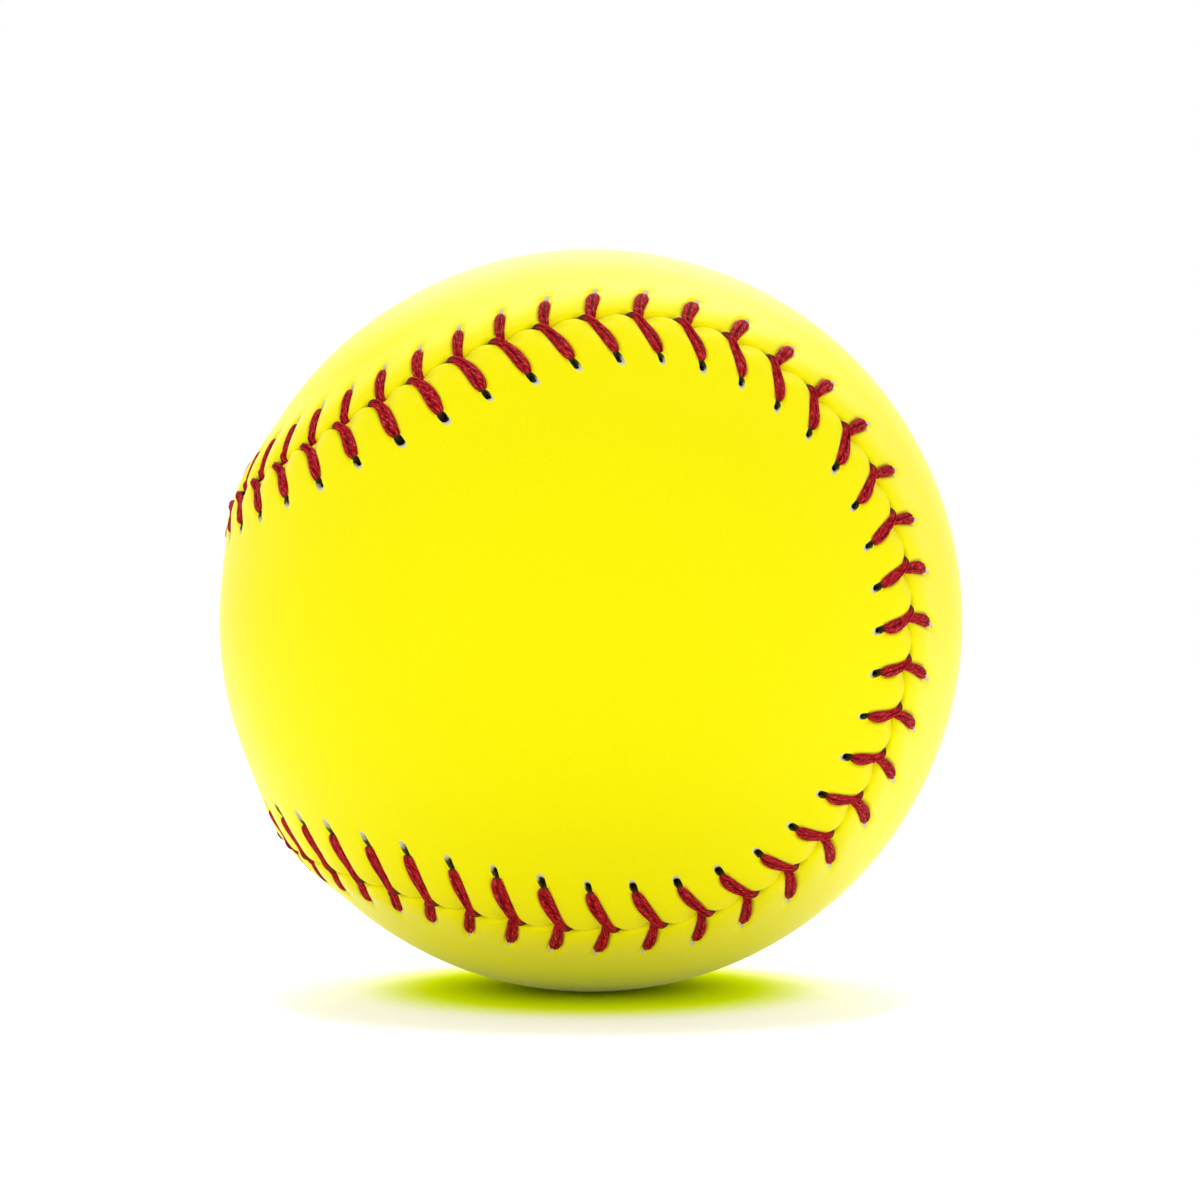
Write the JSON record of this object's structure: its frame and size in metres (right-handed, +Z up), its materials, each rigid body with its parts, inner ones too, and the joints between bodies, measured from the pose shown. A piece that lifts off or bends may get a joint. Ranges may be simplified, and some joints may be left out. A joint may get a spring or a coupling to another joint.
{
  "type": "stitched softball",
  "caption": "Round play ball: figure-eight leather panels laced edge to edge over a solid moulded core, with V-shaped stitches along a raised closed seam.",
  "frame": {"origin": "centre of the ball", "axes": "+Z up and -Z through the middle of the resting flat, +X to the right in the picture, and the pictured side looks along -Y"},
  "size_m": [0.0989, 0.0968, 0.0967],
  "materials": {
    "moulded_core": "matte moulded polyurethane foam",
    "cover_leather": "smooth pigmented leather in optic yellow, satin",
    "waxed_thread": "waxed red thread, soft sheen"
  },
  "bodies": {
    "root": {"core": "moulded_core", "cover_panel_front": "cover_leather", "cover_panel_back": "cover_leather", "thread_first_needle": "waxed_thread", "thread_second_needle": "waxed_thread"}
  },
  "joints": []
}
